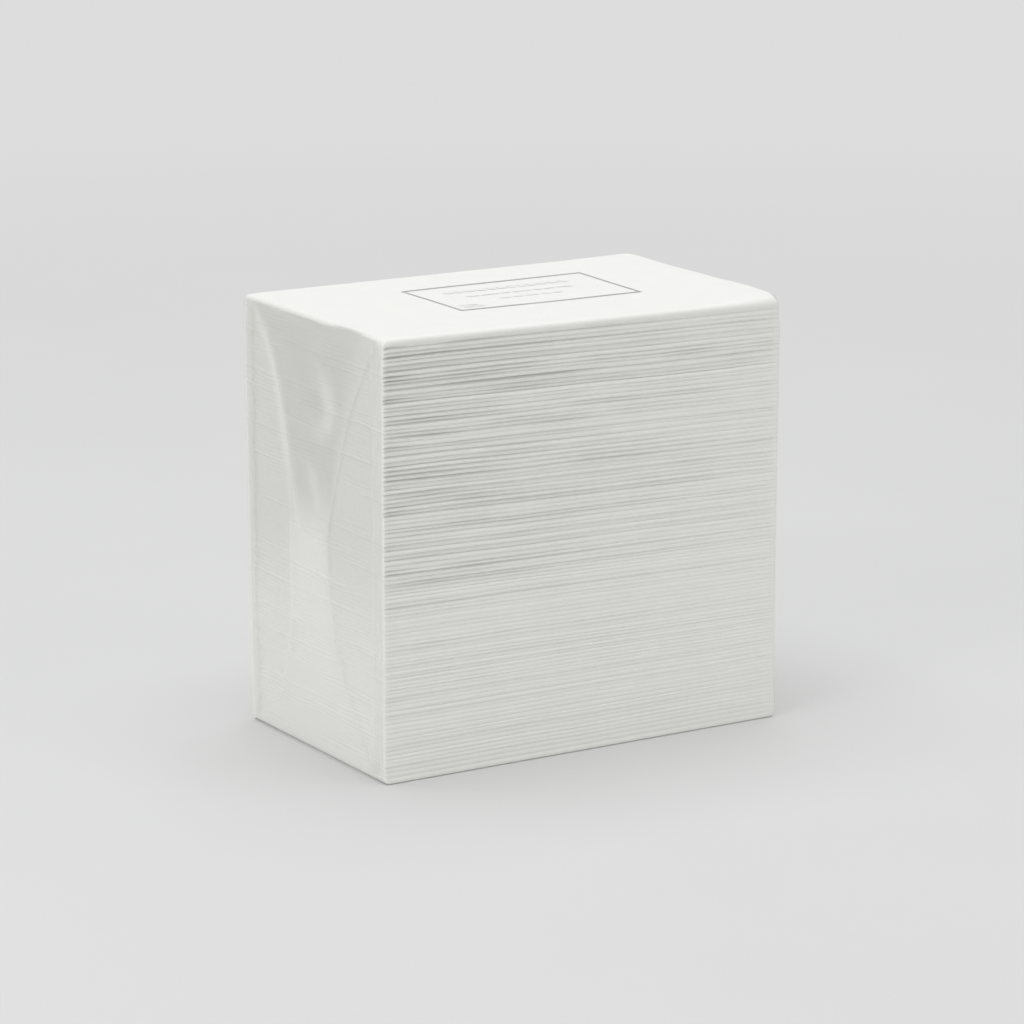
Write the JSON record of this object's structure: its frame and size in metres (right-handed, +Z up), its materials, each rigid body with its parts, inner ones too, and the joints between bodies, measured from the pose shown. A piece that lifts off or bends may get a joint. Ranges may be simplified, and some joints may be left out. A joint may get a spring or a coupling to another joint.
{
  "type": "pack of folded paper towels",
  "caption": "Upright block of zigzag-folded paper towels in tight clear film, with rows of rounded folds on front and back and envelope-folded film ends.",
  "frame": {"origin": "middle of the base, on the surface the pack stands on", "axes": "+X along the folds, +Y from the front folds to the back folds, +Z up"},
  "size_m": [0.2108, 0.1256, 0.2004],
  "materials": {
    "towel_paper": "soft white two-ply tissue",
    "clear_film": "clear glossy packing film"
  },
  "bodies": {
    "root": {"towel_stack": "towel_paper", "film_wrap": "clear_film"}
  },
  "joints": []
}
